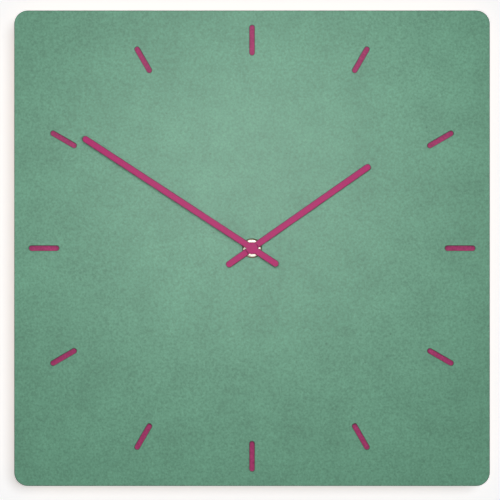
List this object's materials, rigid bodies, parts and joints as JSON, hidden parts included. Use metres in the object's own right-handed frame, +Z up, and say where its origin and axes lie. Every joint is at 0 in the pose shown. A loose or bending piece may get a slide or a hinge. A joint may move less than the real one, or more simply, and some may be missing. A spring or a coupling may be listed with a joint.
{
  "type": "wall clock",
  "caption": "Square wall clock with a cut-through hour-mark face over a contrasting layer, two slim hands and a full quartz movement behind.",
  "frame": {"origin": "on the wall plane, where the wall screw's shank carries the clock, at the top of the keyhole", "axes": "+Z up, +Y into the wall so the face looks along -Y, +X to the right seen from the front"},
  "size_m": [0.4, 0.036, 0.4],
  "materials": {
    "face_leather": "fine fibrous satin, laser-cut dark edges",
    "accent_leather": "fine fibrous satin, laser-cut dark edges",
    "hand_fibreboard": "dyed through, satin, laser-cut edges",
    "board_mdf": "bare pressed wood fibre, matt",
    "rail_wood": "bare planed softwood",
    "felt": "matt felt",
    "zinc_steel": "zinc plated, satin",
    "nickel": "nickel plated, bright",
    "brass": "turned brass",
    "copper": "enamelled copper wire",
    "magnet": "sintered magnet",
    "black_plastic": "moulded, fine texture",
    "white_nylon": "moulded nylon",
    "gasket_rubber": "matt rubber",
    "circuit_resin": "green solder resist",
    "chip_resin": "moulded resin",
    "cell_wrap": "printed film over a steel can"
  },
  "bodies": {
    "clock_body": {"face_sheet": "face_leather", "accent_sheet": "accent_leather", "backing_board": "board_mdf", "rail_top": "rail_wood", "rail_bottom": "rail_wood", "rail_left": "rail_wood", "rail_right": "rail_wood", "rail_screw_1": "zinc_steel", "rail_screw_2": "zinc_steel", "rail_screw_3": "zinc_steel", "rail_screw_4": "zinc_steel", "rail_screw_5": "zinc_steel", "rail_screw_6": "zinc_steel", "rail_screw_7": "zinc_steel", "rail_screw_8": "zinc_steel", "hanger_plate": "zinc_steel", "hanger_screw_left": "zinc_steel", "hanger_screw_right": "zinc_steel", "wall_pad_top_left": "felt", "wall_pad_top_right": "felt", "wall_pad_bottom_left": "felt", "wall_pad_bottom_right": "felt", "case_front": "black_plastic", "case_rear": "black_plastic", "middle_plate": "white_nylon", "threaded_bushing": "brass", "gasket": "gasket_rubber", "washer": "nickel", "dial_nut": "nickel", "stator": "zinc_steel", "coil_core": "zinc_steel", "coil_bobbin": "white_nylon", "coil_winding": "copper", "circuit_board": "circuit_resin", "control_chip": "chip_resin", "quartz_crystal": "nickel", "contact_positive": "nickel", "contact_negative": "nickel", "contact_spring": "zinc_steel"},
    "minute_drive": {"minute_arbor": "zinc_steel", "centre_wheel": "brass", "minute_hand": "hand_fibreboard", "minute_hand_collet": "brass"},
    "hour_drive": {"hour_wheel": "white_nylon", "hour_hand": "hand_fibreboard", "hour_hand_collet": "brass"},
    "minute_reduction": {"minute_wheel": "white_nylon"},
    "setting_knob": {"set_knob": "black_plastic"},
    "third": {"third_wheel": "white_nylon"},
    "fourth": {"fourth_wheel": "white_nylon"},
    "intermediate": {"intermediate_wheel": "white_nylon"},
    "rotor": {"rotor_pinion": "white_nylon", "rotor_magnet": "magnet"},
    "cell": {"battery_cell": "cell_wrap"}
  },
  "joints": [
    {"name": "minute_turn", "type": "hinge", "parent": "clock_body", "child": "minute_drive", "pos_m": [0, -0.035, -0.145], "axis": [0, 1, 0], "continuous": true},
    {"name": "hour_turn", "type": "hinge", "parent": "clock_body", "child": "hour_drive", "pos_m": [0, -0.032, -0.145], "axis": [0, 1, 0], "continuous": true},
    {"name": "minute_wheel_turn", "type": "hinge", "parent": "clock_body", "child": "minute_reduction", "pos_m": [0.00752, -0.0155, -0.14774], "axis": [0, 1, 0], "continuous": true},
    {"name": "set_knob_turn", "type": "hinge", "parent": "clock_body", "child": "setting_knob", "pos_m": [0.0144, -0.0017, -0.14292], "axis": [0, 1, 0], "continuous": true},
    {"name": "third_wheel_turn", "type": "hinge", "parent": "clock_body", "child": "third", "pos_m": [0.00459, -0.0115, -0.13705], "axis": [0, 1, 0], "continuous": true},
    {"name": "fourth_wheel_turn", "type": "hinge", "parent": "clock_body", "child": "fourth", "pos_m": [0, -0.0099, -0.145], "axis": [0, 1, 0], "continuous": true},
    {"name": "intermediate_wheel_turn", "type": "hinge", "parent": "clock_body", "child": "intermediate", "pos_m": [-0.00811, -0.0085, -0.14032], "axis": [0, 1, 0], "continuous": true},
    {"name": "rotor_turn", "type": "hinge", "parent": "clock_body", "child": "rotor", "pos_m": [-0.01487, -0.0085, -0.13851], "axis": [0, 1, 0], "continuous": true},
    {"name": "cell_slide", "type": "slide", "parent": "clock_body", "child": "cell", "axis": [0, 1, 0], "range_m": [0, 0.02]}
  ],
  "couplings": [
    {"joint": "hour_turn", "follows": "minute_turn", "ratio": 0.083333},
    {"joint": "minute_wheel_turn", "follows": "minute_turn", "ratio": -0.33333},
    {"joint": "set_knob_turn", "follows": "minute_turn", "ratio": 0.83333},
    {"joint": "third_wheel_turn", "follows": "minute_turn", "ratio": -8},
    {"joint": "fourth_wheel_turn", "follows": "minute_turn", "ratio": 60},
    {"joint": "intermediate_wheel_turn", "follows": "minute_turn", "ratio": -300},
    {"joint": "rotor_turn", "follows": "minute_turn", "ratio": 1800}
  ]
}
